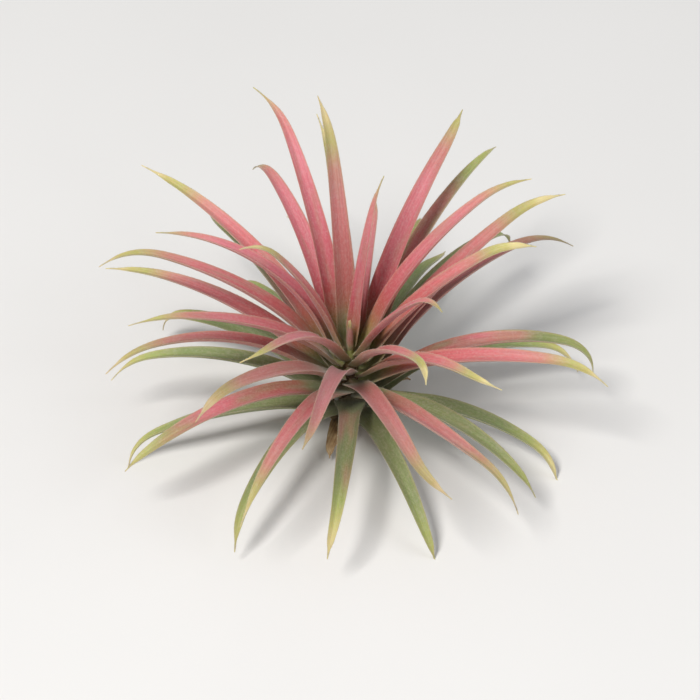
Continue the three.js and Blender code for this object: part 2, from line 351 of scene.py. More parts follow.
# The layers of a leaf's skin: each one's colour, the span over which it sets in, and its share there.
RIPENING_SPAN = (0.45, 0.95)
RIPENING_SHIFTS = (-0.09, 0.08)
DUSK = (178, 138, 122)
DUSK_SPAN = (0.5, 0.72)
DUSK_FADING = (0.95, 0.6)
DUSK_SHARE = 0.5
DULL = (176, 136, 124)
DULL_SPAN = (0.0, 0.5)
DULL_SHARE = 0.42
PINK_GAIN = 1.25
WASH_SPAN = (0.3, 0.7)
WASH_SHIFTS = (-0.2, 0.2)
THROAT_SPAN = (0.1, 0.28)
THROAT_LOSS = 0.42
TIP_SPAN = (0.6, 0.95)
TIP_LOSS = 0.25
BLUSH_SPAN = (0.2, 0.75)
STRIPE = (176, 128, 112)
STRIPE_SPAN = (0.35, 0.65)
STRIPE_SHARE = 0.24
BLOOM = (204, 190, 184)
BLOOM_SPAN = (0.42, 0.66)
BLOOM_SHARE = 0.15
MARGIN = (190, 172, 130)
MARGIN_SPAN = (0.7, 1.0)
MARGIN_GROWTH = (0.2, 0.9)
MARGIN_SHARES = (0.12, 0.34)
SCURF = (216, 208, 204)
SCURF_SPAN = (0.5, 0.72)
SCURF_SHARES = (0.34, 0.16)
SILVER = (226, 214, 204)
SILVER_SPAN = (1.2, 2.0)
SILVER_SHARE = 0.6

# A leaf's tone and shine; its lightest tones, past a shade of 1, are painted light on a leaf in shadow. A
# bump is its strength and its height in metres.
WARMTH_HUES = (0.494, 0.506)
TONE_AND_PAINTED_LIGHT_SPAN = (0.0, 2.0)
TONE_AND_PAINTED_LIGHT_VALUES = (0.92, 1.2)
GRAIN_SPAN = (0.3, 0.7)
GRAIN_ROUGHNESS = (0.5, 0.68)
GRAIN_HEIGHT = 0.5
LEAF_BUMP = (0.5, 0.00012)
LEAF_SHADER = {
    "Roughness": 0.55,
    "Subsurface Weight": 0.12,
    "Subsurface Scale": 0.0012,
    "Subsurface Radius": (1.0, 0.45, 0.3),
    "Sheen Weight": 0.22,
    "Sheen Roughness": 0.35,
    "Specular IOR Level": 0.35,
}

# The dry leaves' paper, the stem's wood, which is green at the top, and the table top.
DRY_SHADER = {"Roughness": 0.8, "Sheen Weight": 0.1}
DRY_COLOURS = [(0.3, (138, 108, 76)), (0.5, (172, 142, 102)), (0.7, (202, 178, 138))]
DRY_BLOTCHES = (0.3, 4)
DRY_VEIN = (160, 124, 92)
DRY_VEIN_STRETCH = (0.08, 2.4)
DRY_VEIN_NOISE = (1.0, 4, 0.65)
DRY_VEIN_SPAN = (0.3, 0.7)
DRY_VEIN_SHARE = 0.6
DRY_BUMP = (0.8, 0.0002)
WOOD_SHADER = {"Roughness": 0.85}
WOOD_COLOURS = [(0.3, (70, 52, 36)), (0.5, (112, 88, 62)), (0.72, (150, 126, 94))]
WOOD_GRAIN = (1.2, 5, 0.65)
WOOD_TOP = (150, 152, 92)
WOOD_TOP_SPAN = (20.0, 25.0)
WOOD_BUMP = (0.8, 0.0003)
FLOOR_SHADER = {"Roughness": 0.7}
FLOOR_COLOURS = ((225, 224, 222), (228, 227, 225))
FLOOR_CLOUDS = (6, 3)
FLOOR_SPAN = (0.3, 0.7)

# The set, in metres: a pale table, soft light and a camera at the photograph's viewing angle.
FLOOR_SIZE = 6.0
HEART = Vector((0, 0, 0.030))
AIM = Vector((0, -0.004, 0.030))
CAMERA_DISTANCE = 1.04
CAMERA_ELEVATION = 43.9
FIELD_OF_VIEW = 11.4
NEAREST_SEEN = 0.01
ROOM_COLOUR = (0.93, 0.95, 1.0, 1)
ROOM_STRENGTH = 0.36
LAMPS = {
    "key": {"place": (-0.6, -0.7, 1.5), "size": 0.5, "power": 26, "colour": (1.0, 0.98, 0.95)},
    "fill": {"place": (1.1, -0.5, 0.9), "size": 1.0, "power": 5, "colour": (0.96, 0.98, 1.0)},
}


def lerp(start, end, share):
    return start + (end - start) * share


def ramp(start, end, value):
    """A smooth step from 0 at one value to 1 at another."""
    share = np.clip((value - start) / (end - start), 0, 1)
    return share * share * (3 - 2 * share)


def draw(index, trait, turn=0):
    """A repeatable draw from -1 to 1 for a trait of one leaf or root, or for one of its turns."""
    number = TRAIT[trait] + turn
    wave = math.sin(index * DRAW_STEP + number * DRAW_TRAIT_STEP + DRAW_START) * DRAW_SCALE
    return 2 * (wave - math.floor(wave)) - 1


def draw_share(index, trait):
    """A repeatable draw from 0 to 1."""
    return 0.5 + 0.5 * draw(index, trait)


def stem_radius(z):
    return lerp(STEM_FOOT_RADIUS, STEM_TOP_RADIUS, min(1, z / STEM_HEIGHT))


def habit_of(i):
    """What sets leaf i apart. The dry leaves carry on the same spiral below the last green one.

    The waist is the blade's tilt where it leaves the bulb and the tip is the tilt that it ends with.
    The reach is how far round the stem the sheath may go, to either side.
    """
    age = i / (LEAF_COUNT - 1)
    dry = i >= LEAF_COUNT
    own = NUDGES.get(i, {})
    azimuth = FIRST_AZIMUTH + i * GOLDEN_ANGLE
    lean = 0 if dry else LEAN * (1 - age * age) * math.cos((azimuth - LEAN_AZIMUTH) * DEG)
    settled = DRY_TILT if dry else lerp(HEART_TILT, FOOT_TILT, age**TILT_GROWTH) + lean
    tilt = settled + TILT_SPREAD * draw(i, "tilt") + own.get("tilt", 0)
    waist = lerp(HEART_WAIST, FOOT_WAIST, min(1, age)) * settled + WAIST_LEAN * max(0, lean)
    bend = BEND + BEND_SPREAD * draw(i, "bend")
    foot_z = YOUNGEST_FOOT_Z - FOOT_STEP * i
    grown = 1 - HEART_SHORTFALL * math.exp(-i / HEART_SPAN) - FOOT_SHORTFALL * age * age
    dry_length = DRY_LENGTH * (1 + DRY_LENGTH_SPREAD * draw(i, "dry_length"))
    full = dry_length if dry else BLADE_LENGTH * grown
    return {
        "index": i,
        "azimuth": azimuth + own.get("turn", 0),
        "foot_z": foot_z,
        "foot_r": stem_radius(foot_z) + CLEARANCE,
        "bulb_r": BULB_CORE + BULB_SPREAD * math.sqrt(i),
        "reach": lerp(HEART_REACH, SHEATH_REACH, ramp(0, HEART_LEAVES, i)),
        "waist": waist,
        "bend": bend,
        "tip": waist + (tilt - waist) * (bend + 1),
        "length": full * (1 + LENGTH_SPREAD * draw(i, "length")) * own.get("length", 1),
        "width": lerp(HEART_WIDTH, BLADE_WIDTH, ramp(-1, NARROW_LEAVES, i)) * own.get("width", 1),
        "sheath": lerp(HEART_SHEATH_WIDTH, SHEATH_WIDTH, min(1, age)) * own.get("width", 1),
        "drift": lerp(YOUNG_DRIFT, OLD_DRIFT, age) * draw(i, "drift"),
        "roll": lerp(YOUNG_ROLL, OLD_ROLL, age) * draw(i, "roll"),
        "curl": own.get("curl", CURL + CURL_SPREAD * draw(i, "curl")),
        "hook": HOOK_SPREAD * draw(i, "hook"),
        "rib": FINE_RIB,
        "blunt": 0 if dry else LOOKS.get(i, {}).get("blunt", draw_share(i, "blunt")),
    }


def bud_habit(k):
    """Leaf k of the closed bud in the heart, which is still rolled round the next one."""
    return {
        "index": LEAF_COUNT + DRY_COUNT + k,
        "azimuth": FIRST_AZIMUTH - (k + 1) * GOLDEN_ANGLE,
        "foot_z": STEM_HEIGHT - BUD_SINK,
        "foot_r": BUD_FOOT_RADIUS - BUD_STEP * k,
        "bulb_r": BUD_WAIST_RADIUS - BUD_STEP * k,
        "reach": BUD_REACH,
        "waist": BUD_WAIST,
        "bend": BEND,
        "tip": BUD_TIP,
        "length": BUD_LENGTH - BUD_SHORTENING * k,
        "width": BUD_WIDTH,
        "sheath": BUD_WIDTH,
        "rib": BUD_RIB,
        **dict.fromkeys(("drift", "roll", "curl", "hook", "blunt"), 0),
    }


def flare_frames(habit):
    """The lower part of a leaf's middle line, which bulges from its foot to the bulb's edge."""
    out = habit["azimuth"] * DEG
    rise = habit["bulb_r"] - habit["foot_r"]
    height = FLARE_SLANT * abs(rise) + FLARE_RISE
    end = math.atan2(abs(rise), height * math.tan(habit["waist"] * DEG))
    turn = end * np.arange(FLARE_STEPS + 1) / FLARE_STEPS
    r = habit["foot_r"] + rise * np.sin(turn)
    return {
        "x": r * math.cos(out),
        "y": r * math.sin(out),
        "z": habit["foot_z"] + height * (1 - np.cos(turn)),
        "r": r,
        "tilt": np.arctan2(rise * np.cos(turn), height * np.sin(turn)),
        "heading": np.full_like(turn, out),
        "roll": np.zeros_like(turn),
        "u": np.arange(FLARE_STEPS + 1) / FLARE_STEPS - 1,
    }


def blade_frames(habit, flare, past_tip):
    """The upper part of a leaf's middle line, step by step from the flare's end to the tip or past it."""

    def bearing(u):
        hooked = ramp(HOOK_START, HOOK_END, u)
        tilt = lerp(habit["waist"], habit["tip"], u ** habit["bend"]) + habit["curl"] * hooked
        heading = habit["azimuth"] + habit["drift"] * u + habit["hook"] * hooked
        return tilt * DEG, heading * DEG

    steps = np.arange(1, BLADE_STEPS + past_tip + 1)
    step = habit["length"] / BLADE_STEPS
    tilt, heading = bearing((steps - 0.5) / BLADE_STEPS)
    x = flare["x"][-1] + np.cumsum(step * np.sin(tilt) * np.cos(heading))
    y = flare["y"][-1] + np.cumsum(step * np.sin(tilt) * np.sin(heading))
    z = flare["z"][-1] + np.cumsum(step * np.cos(tilt))
    u = steps / BLADE_STEPS
    ring_tilt, ring_heading = bearing(u)
    return {
        "x": x,
        "y": y,
        "z": z,
        "r": np.hypot(x, y),
        "tilt": ring_tilt,
        "heading": ring_heading,
        "roll": habit["roll"] * u * DEG,
        "u": u,
    }


def midline(habit, past_tip=0):
    """The frames along a leaf's middle line: its foot on the stem, its bulge over the bulb, its blade.

    u runs from -1 at the foot to 0 where the blade leaves the bulb, and to 1 at the tip.
    """
    flare = flare_frames(habit)
    blade = blade_frames(habit, flare, past_tip)
    return {key: np.concatenate([flare[key], blade[key]]) for key in flare}


def section(habit, frames):
    """The leaf's width, the half angle of its channel and its thinning at every frame."""
    u = frames["u"]
    r = frames["r"]
    reach = 2 * r * math.sin(habit["reach"] * DEG)
    sheath = np.minimum(reach, habit["sheath"])
    taper = (1 - np.clip(u, 0, 1) ** TAPER) ** TAPER_ROUNDING
    blade = np.maximum(TIP_WIDTH, habit["width"] * taper)
    low = sheath * lerp(FOOT_NARROWING, 1, ramp(-1, SHEATH_FULL, u))
    high = np.minimum(reach, lerp(np.maximum(sheath, blade), blade, ramp(0, NECK_END, u)))
    width = np.where(u <= 0, low, high)
    hug = np.arcsin((width / 2 / r) * np.maximum(LEAST_HUG, np.cos(frames["tilt"])))
    channel = lerp(CHANNEL, TIP_CHANNEL, ramp(TIP_START, 1, u)) * DEG
    thin = np.maximum(ramp(RIB_FADES, 1, u), ramp(RIB_STARTS, SHEATH_THIN, u))
    return width, lerp(hug, channel, ramp(0, CHANNEL_FULL, u)), thin


def axes(frames):
    """The direction across the leaf and the one out of its upper face, at every frame."""
    tilt = frames["tilt"][:, None]
    heading = frames["heading"][:, None]
    roll = frames["roll"][:, None]
    level = np.hstack([np.sin(heading), -np.cos(heading), np.zeros_like(heading)])
    raised = np.hstack([-np.cos(tilt) * np.cos(heading), -np.cos(tilt) * np.sin(heading), np.sin(tilt)])
    side = level * np.cos(roll) + raised * np.sin(roll)
    face = raised * np.cos(roll) - level * np.sin(roll)
    return side, face


def points_at(frames, width, channel, across, offset):
    """Points on the leaf: across runs from -1 to 1 and offset is the height above its middle layer."""
    side, face = axes(frames)
    radius = (width / 2 / np.sin(channel))[:, None]
    angle = across * channel[:, None]
    sideways = (radius - offset) * np.sin(angle)
    upward = radius - (radius - offset) * np.cos(angle)
    middle = np.stack([frames["x"], frames["y"], frames["z"]], axis=1)
    return (
        middle[:, None, :]
        + side[:, None, :] * sideways[:, :, None]
        + face[:, None, :] * upward[:, :, None]
    )


def picked(frames, rows):
    return {key: values[rows] for key, values in frames.items()}


def lowest_of_solid(habit):
    """The lowest point of the leaf's solid, which has few rings."""
    frames = midline(habit)
    frames = picked(frames, FLARE_RINGS + [FLARE_STEPS + k for k in BLADE_RINGS])
    width, channel, thin = section(habit, frames)
    across = np.linspace(-1, 1, COARSE_ACROSS)[None, :]
    rib = lerp(RIB_THICKNESS, EDGE_THICKNESS, thin)[:, None]
    keel = (rib - EDGE_THICKNESS) * (1 - across * across)
    level = np.full_like(keel, EDGE_THICKNESS / 2)
    upper = points_at(frames, width, channel, across, level)
    under = points_at(frames, width, channel, across, -level - keel)
    return min(upper[:, :, 2].min(), under[:, :, 2].min())


def settle(habit):
    """A leaf that would reach below the table is held up by it, as in the solids."""
    if lowest_of_solid(habit) >= 0:
        return habit
    high = habit["waist"]
    low = habit["tip"]
    for _ in range(SETTLING_ROUNDS):
        middle = (high + low) / 2
        if lowest_of_solid({**habit, "tip": middle}) < 0:
            low = middle
        else:
            high = middle
    return {**habit, "tip": high}


def tube_faces(rings, points):
    """Faces of a closed tube of rings, with a fan at each end round the two vertices that come last."""
    faces = []
    for k in range(rings - 1):
        for j in range(points):
            a = k * points + j
            b = k * points + (j + 1) % points
            faces.append((a, b, b + points, a + points))
    first = rings * points
    last = first + 1
    top = (rings - 1) * points
    for j in range(points):
        ahead = (j + 1) % points
        faces.append((first, ahead, j))
        faces.append((last, top + j, top + ahead))
    return faces


def piece(name, points, faces, material, attributes):
    """A smooth piece that rides on the plant, from points in millimetres."""
    mesh = bpy.data.meshes.new(name)
    mesh.from_pydata((points * MM).tolist(), [], faces)
    mesh.polygons.foreach_set("use_smooth", [True] * len(mesh.polygons))
    for key, values in attributes.items():
        layer = mesh.attributes.new(key, "FLOAT_VECTOR", "POINT")
        layer.data.foreach_set("vector", np.ascontiguousarray(values, dtype=np.float32).ravel())
    mesh.materials.append(material)
    made = bpy.data.objects.new(name, mesh)
    bpy.context.scene.collection.objects.link(made)
    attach(made, "root")
    return made


def fine_width(habit, u, width):
    """The solid's width with a fuller tip where the leaf is blunt, and a thread at the end."""
    untapered = np.maximum(LEAST_TAPER, 1 - np.clip(u, 0, 1) ** TAPER)
    width = width * np.minimum(BLUNTEST, untapered ** (-BLUNTING * habit["blunt"]))
    thread_start = lerp(THREAD_START, BLUNT_THREAD_START, habit["blunt"])
    return lerp(width, THREAD_WIDTH, ramp(thread_start, 1 + THREAD_STEPS / BLADE_STEPS, u))


def folds(habit, u):
    """The wrinkles of a leaf, from -1 to 1."""
    wave = u[:, None] * WRINKLE_WAVES + WRINKLE_WAVES * draw(habit["index"], "wrinkle")
    slanting = np.sin(wave + WRINKLE_SLANT * RING_ACROSS)
    return slanting * np.sin(wave * CROSS_WAVES + CROSS_SLANT * RING_ACROSS)


def fine_section(habit, frames, wrinkle):
    """The width, channel and ring offsets of a fine leaf: thin round margins, a groove and a keel."""
    u = frames["u"]
    width, channel, thin = section(habit, frames)
    width = fine_width(habit, u, width)
    keel = lerp(habit["rib"] - FINE_EDGE, 0, thin)[:, None] * (1 - RING_ACROSS**2)
    groove = GROOVE_DEPTH * (ramp(GROOVE_STARTS, GROOVE_FULL, u) - ramp(GROOVE_FADES, 1, u))[:, None]
    groove = groove * np.exp(-((RING_ACROSS / GROOVE_SHARE) ** 2))
    upper = RING_BULGE * (FINE_EDGE / 2) - groove
    under = RING_BULGE * (FINE_EDGE / 2 + keel)
    offset = np.where(RING_BULGE > 0, upper, under)
    return width, channel, offset + wrinkle * folds(habit, u)


def fine_grid(habit, wrinkle):
    """The points of a fine leaf, ring by ring, and what the material reads at each of them.

    look is the place from foot to tip, the place across and which face it is on. place is the same in
    millimetres, with a layer of its own for every leaf and face, so that no two have one pattern.
    """
    frames = midline(habit, THREAD_STEPS)
    count = len(frames["u"])
    rows = set(range(0, count, STATION_STRIDE)) | set(range(count - TIP_STATIONS, count))
    frames = picked(frames, sorted(rows))
    u = frames["u"]
    width, channel, offset = fine_section(habit, frames, wrinkle)
    points = points_at(frames, width, channel, RING_ACROSS, offset)
    lift = np.maximum(0, TABLE_GAP - points[:, :, 2].min(axis=1))
    points[:, :, 2] += lift[:, None]
    middles = points.mean(axis=1)
    length = np.cumsum(np.concatenate([[0], np.linalg.norm(np.diff(middles, axis=0), axis=1)]))
    along = np.where(u < 0, (u + 1) * FOOT_SHARE, lerp(FOOT_SHARE, 1, u))
    size = points.shape[:2]
    upper = np.broadcast_to(np.clip(RING_BULGE * FACE_SHARPNESS, -1, 1) * 0.5 + 0.5, size)
    spread = np.broadcast_to(RING_ACROSS, size)
    layer = LEAF_STEP * habit["index"] + FACE_STEP * upper
    look = np.stack([np.broadcast_to(along[:, None], size), spread, upper], axis=2)
    place = np.stack([np.broadcast_to(length[:, None], size), spread * width[:, None] / 2, layer], axis=2)
    return points, look, place


def closed(grid):
    """A grid's points in one list, with the middles of its first and last rings at the end."""
    return np.vstack([grid.reshape(-1, 3), grid[0].mean(axis=0), grid[-1].mean(axis=0)])


def unit(vectors):
    """The same directions with a length of 1."""
    return vectors / np.maximum(np.linalg.norm(vectors, axis=1), LEAST_NORM)[:, None]


def strewn(luck, rings, sides, count):
    """Where scales sit: how far up the rings, how far round them, and which fringe the margins.

    Half of them fringe the margins and half are strewn over both faces.
    """
    row = luck.uniform(SCALE_FREE_RINGS, rings - SCALE_FREE_TIP, count)
    ring = luck.uniform(0, sides, count)
    fringe = np.arange(count) % 2 == 0
    margin = np.where(luck.random(fringe.sum()) < 0.5, 0, sides / 2)
    ring[fringe] = margin + luck.normal(0, FRINGE_SPREAD, fringe.sum())
    return row, ring, fringe


def scales(points, look, place, seed, count):
    """Small silver scales, each a leaning three-sided spike sunk in the leaf's skin."""
    luck = np.random.default_rng(seed)
    rings, sides = points.shape[:2]
    row, ring, fringe = strewn(luck, rings, sides, count)
    k = row.astype(int)
    j = np.floor(ring).astype(int)
    f = (row - k)[:, None]
    g = (ring - j)[:, None]
    ahead = (j + 1) % sides
    j = j % sides

    def blend(grid):
        near = lerp(grid[k, j], grid[k, ahead], g)
        far = lerp(grid[k + 1, j], grid[k + 1, ahead], g)
        return lerp(near, far, f)

    spot = blend(points)
    way = unit(points[k + 1, j] - points[k, j])
    around = unit(points[k, ahead] - points[k, j])
    out = unit(np.cross(around, way))
    size = luck.uniform(*SCALE_SIZE, count)[:, None]
    rise = np.where(fringe, FRINGE_RISE, FACE_RISE)[:, None]
    tip = spot + size * unit(way + rise * out + luck.normal(0, SCALE_SWAY, (count, 1)) * around)
    foot = spot - SCALE_SINK * out
    corners = [tip, foot + around * SCALE_FOOT, foot - around * SCALE_FOOT, foot + way * 2 * SCALE_FOOT]
    clear = spot[:, 2] > SCALE_LOWEST
    body = np.stack(corners, axis=1)[clear].reshape(-1, 3)
    first = len(corners) * np.arange(clear.sum())[:, None, None]
    faces = (first + np.array(SPIKE_FACES)).reshape(-1, 3)
    marks = blend(look)
    marks[:, 1] = SCALE_MARK
    marks = np.repeat(marks[clear], len(corners), axis=0)
    spots = np.repeat(blend(place)[clear], len(corners), axis=0)
    return body, faces, marks, spots


def fine_leaf(habit, name, node, material, pink, wrinkle=0.0, scale_count=0):
    """A leaf with rounded thin margins, a thread tip and scales, in place of its solid if it has one."""
    i = habit["index"]
    points, look, place = fine_grid(habit, wrinkle)
    body, marks, spots = (closed(grid) for grid in (points, look, place))
    middles = points.mean(axis=1)
    body[-1] = middles[-1] + (middles[-1] - middles[-2]) * THREAD_END
    body[-1, 2] = max(body[-1, 2], TABLE_GAP)
    faces = tube_faces(len(points), RING_POINTS)
    if scale_count:
        scale_body, scale_faces, scale_marks, scale_spots = scales(points, look, place, i, scale_count)
        faces += [tuple(face) for face in (scale_faces + len(body)).tolist()]
        body = np.vstack([body, scale_body])
        marks = np.vstack([marks, scale_marks])
        spots = np.vstack([spots, scale_spots])
    traits = {"pink": pink, "shade": draw_share(i, "shade"), "warmth": draw_share(i, "warmth")}
    traits.update(LOOKS.get(i, {}))
    trait = np.full((len(body), 3), [traits[key] for key in ("pink", "shade", "warmth")])
    made = piece(name, body, faces, material, {"look": marks, "place": spots, "trait": trait})
    if node:
        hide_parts(node)


def paint(colour):
    """A colour as a shader wants it, from its red, green and blue of 0 to 255."""
    channels = []
    for value in colour:
        share = value / 255
        channels.append(share / 12.92 if share <= 0.04045 else ((share + 0.055) / 1.055) ** 2.4)
    return (*channels, 1)


class Recipe:
    """A procedural material under construction."""

    def __init__(self, name, constants):
        self.material = bpy.data.materials.new(name)
        self.material.use_nodes = True
        self.tree = self.material.node_tree
        self.shader = self.tree.nodes["Principled BSDF"]
        for key, value in constants.items():
            self.shader.inputs[key].default_value = value

    def node(self, kind, **settings):
        made = self.tree.nodes.new(kind)
        for key, value in settings.items():
            setattr(made, key, value)
        return made

    def feed(self, socket, value):
        if isinstance(value, bpy.types.NodeSocket):
            self.tree.links.new(value, socket)
        else:
            socket.default_value = value

    def attribute(self, name):
        return self.node("ShaderNodeAttribute", attribute_name=name).outputs["Vector"]

    def parts(self, vector):
        split = self.node("ShaderNodeSeparateXYZ")
        self.feed(split.inputs[0], vector)
        return split.outputs[0], split.outputs[1], split.outputs[2]

    def vector(self, x, y, z):
        made = self.node("ShaderNodeCombineXYZ")
        for socket, value in zip(made.inputs, (x, y, z)):
            self.feed(socket, value)
        return made.outputs[0]

    def stretched(self, place, along, across):
        """A leaf's place for a pattern that is drawn out along it."""
        down, sideways, layer = place
        return self.vector(self.times(down, along), self.times(sideways, across), layer)

    def math(self, operation, a, b=0.0, clamp=False):
        made = self.node("ShaderNodeMath", operation=operation, use_clamp=clamp)
        self.feed(made.inputs[0], a)
        self.feed(made.inputs[1], b)
        return made.outputs[0]

    def times(self, a, b):
        return self.math("MULTIPLY", a, b)

    def span(self, value, start, end, low=0.0, high=1.0):
        """A value's smooth place between start and end, as a number from low to high."""
        made = self.node("ShaderNodeMapRange", interpolation_type="SMOOTHSTEP")
        self.feed(made.inputs["Value"], value)
        self.feed(made.inputs["From Min"], start)
        self.feed(made.inputs["From Max"], end)
        self.feed(made.inputs["To Min"], low)
        self.feed(made.inputs["To Max"], high)
        return made.outputs[0]

    def mix(self, share, a, b, kind="MIX"):
        made = self.node("ShaderNodeMix", data_type="RGBA", blend_type=kind)
        self.feed(made.inputs[0], share)
        self.feed(made.inputs[6], a)
        self.feed(made.inputs[7], b)
        return made.outputs[2]

    def shades(self, value, stops):
        """Colours along a value, from a list of (place, colour)."""
        made = self.node("ShaderNodeValToRGB")
        self.feed(made.inputs[0], value)
        elements = made.color_ramp.elements
        while len(elements) < len(stops):
            elements.new(1.0)
        for element, (place, colour) in zip(elements, stops):
            element.position = place
            element.color = paint(colour)
        return made.outputs[0]

    def noise(self, vector, scale, detail, roughness=0.5):
        made = self.node("ShaderNodeTexNoise")
        self.feed(made.inputs["Vector"], vector)
        self.feed(made.inputs["Scale"], scale)
        self.feed(made.inputs["Detail"], detail)
        self.feed(made.inputs["Roughness"], roughness)
        return made.outputs[0]

    def toned(self, colour, hue, value):
        made = self.node("ShaderNodeHueSaturation")
        self.feed(made.inputs["Hue"], hue)
        self.feed(made.inputs["Value"], value)
        self.feed(made.inputs["Color"], colour)
        return made.outputs[0]

    def bump(self, height, strength, distance):
        made = self.node("ShaderNodeBump")
        self.feed(made.inputs["Strength"], strength)
        self.feed(made.inputs["Distance"], distance)
        self.feed(made.inputs["Height"], height)
        self.feed(self.shader.inputs["Normal"], made.outputs[0])

    def finish(self, colour, roughness=None):
        self.feed(self.shader.inputs["Base Color"], colour)
        if roughness is not None:
            self.feed(self.shader.inputs["Roughness"], roughness)
        return self.material


def leaf_patterns(recipe):
    """The noises that the skin's colours are mixed by."""
    place = recipe.parts(recipe.attribute("place"))
    return {
        name: recipe.noise(recipe.stretched(place, *stretch), *grain)
        for name, (stretch, grain) in LEAF_PATTERNS.items()
    }


def ripeness(recipe, along, warmth):
    """The place along the leaf for its colours: by its warmth, its tip turns early or stays pink."""
    turning = recipe.span(along, *RIPENING_SPAN)
    shift = recipe.times(turning, recipe.span(warmth, 0.0, 1.0, *RIPENING_SHIFTS))
    return recipe.math("ADD", along, shift, clamp=True)


def young_colour(recipe, ripe, along, upper, shade, dusk):
    """A young leaf: coral pink above and paler below, with dusky washes. A dark leaf is dull as well."""
    above = recipe.shades(ripe, UPPER_COLOURS)
    below = recipe.shades(ripe, UNDER_COLOURS)
    face = recipe.mix(upper, below, above)
    fading = recipe.span(along, *DUSK_FADING, 0.0, DUSK_SHARE)
    face = recipe.mix(recipe.times(recipe.span(dusk, *DUSK_SPAN), fading), face, paint(DUSK))
    return recipe.mix(recipe.span(shade, *DULL_SPAN, DULL_SHARE, 0.0), face, paint(DULL))


def blush_of(recipe, along, pink, washes):
    """How far the leaf has coloured up at a place: in washes, and less at its throat and its tip."""
    blush = recipe.math("ADD", recipe.times(pink, PINK_GAIN), recipe.span(washes, *WASH_SPAN, *WASH_SHIFTS))
    blush = recipe.math("SUBTRACT", blush, recipe.span(along, *THROAT_SPAN, THROAT_LOSS, 0.0))
    blush = recipe.math("SUBTRACT", blush, recipe.span(along, *TIP_SPAN, 0.0, TIP_LOSS))
    return recipe.span(blush, *BLUSH_SPAN)


def scurfy(recipe, colour, along, across, upper, patterns):
    """A leaf's colour with its stripes, pale bloom, pale margins, scurf and silver scales."""
    stripes = recipe.span(patterns["stripes"], *STRIPE_SPAN, 0.0, STRIPE_SHARE)
    colour = recipe.mix(stripes, colour, paint(STRIPE), "MULTIPLY")
    bloom = recipe.span(patterns["speckles"], *BLOOM_SPAN, 0.0, BLOOM_SHARE)
    colour = recipe.mix(bloom, colour, paint(BLOOM))
    edge = recipe.math("ABSOLUTE", across)
    paling = recipe.span(along, *MARGIN_GROWTH, *MARGIN_SHARES)
    colour = recipe.mix(recipe.times(recipe.span(edge, *MARGIN_SPAN), paling), colour, paint(MARGIN))
    on_face = recipe.span(upper, 0.0, 1.0, *SCURF_SHARES)
    scurf = recipe.times(recipe.span(patterns["grains"], *SCURF_SPAN), on_face)
    colour = recipe.mix(scurf, colour, paint(SCURF))
    return recipe.mix(recipe.span(edge, *SILVER_SPAN, 0.0, SILVER_SHARE), colour, paint(SILVER))


def leaf_material(name):
    """Living leaf: coral pink while it is young, sage when it is old, olive at the throat and tip."""
    recipe = Recipe(name, LEAF_SHADER)
    along, across, upper = recipe.parts(recipe.attribute("look"))
    pink, shade, warmth = recipe.parts(recipe.attribute("trait"))
    patterns = leaf_patterns(recipe)
    ripe = ripeness(recipe, along, warmth)
    old = recipe.shades(ripe, OLD_COLOURS)
    young = young_colour(recipe, ripe, along, upper, shade, patterns["dusk"])
    colour = recipe.mix(blush_of(recipe, along, pink, patterns["washes"]), old, young)
    colour = scurfy(recipe, colour, along, across, upper, patterns)
    hue = recipe.span(warmth, 0.0, 1.0, *WARMTH_HUES)
    # A shade past 1 lightens the leaf as painted light, for a leaf that the lamps leave in shade.
    colour = recipe.toned(colour, hue, recipe.span(shade, *TONE_AND_PAINTED_LIGHT_SPAN, *TONE_AND_PAINTED_LIGHT_VALUES))
    grains = patterns["grains"]
    recipe.bump(recipe.math("ADD", recipe.times(grains, GRAIN_HEIGHT), patterns["stripes"]), *LEAF_BUMP)
    return recipe.finish(colour, recipe.span(grains, *GRAIN_SPAN, *GRAIN_ROUGHNESS))


def dry_material():
    """A dead leaf: papery, brown and veined."""
    recipe = Recipe("dry_leaf_paper", DRY_SHADER)
    place = recipe.attribute("place")
    veins = recipe.noise(recipe.stretched(recipe.parts(place), *DRY_VEIN_STRETCH), *DRY_VEIN_NOISE)
    colour = recipe.shades(recipe.noise(place, *DRY_BLOTCHES), DRY_COLOURS)
    darker = recipe.span(veins, *DRY_VEIN_SPAN, 0.0, DRY_VEIN_SHARE)
    colour = recipe.mix(darker, colour, paint(DRY_VEIN), "MULTIPLY")
    recipe.bump(veins, *DRY_BUMP)
    return recipe.finish(colour)


def stem_material():
    """Woody stem and wiry roots, with the stem's top still green."""
    recipe = Recipe("stem_wood", WOOD_SHADER)
    place = recipe.attribute("place")
    height = recipe.parts(place)[2]
    grain = recipe.noise(place, *WOOD_GRAIN)
    colour = recipe.shades(grain, WOOD_COLOURS)
    colour = recipe.mix(recipe.span(height, *WOOD_TOP_SPAN), colour, paint(WOOD_TOP))
    recipe.bump(grain, *WOOD_BUMP)
    return recipe.finish(colour)


def floor_material():
    """A pale matt table top."""
    recipe = Recipe("pale_table", FLOOR_SHADER)
    place = recipe.node("ShaderNodeTexCoord").outputs["Object"]
    clouds = recipe.noise(place, *FLOOR_CLOUDS)
    darker, lighter = FLOOR_COLOURS
    return recipe.finish(recipe.mix(recipe.span(clouds, *FLOOR_SPAN), paint(darker), paint(lighter)))


def pinkness(i):
    """How far leaf i has coloured up: the young ones wholly, the oldest hardly at all."""
    return float(1 - ramp(GREENING_START, GREENING_END, i / (LEAF_COUNT - 1)))


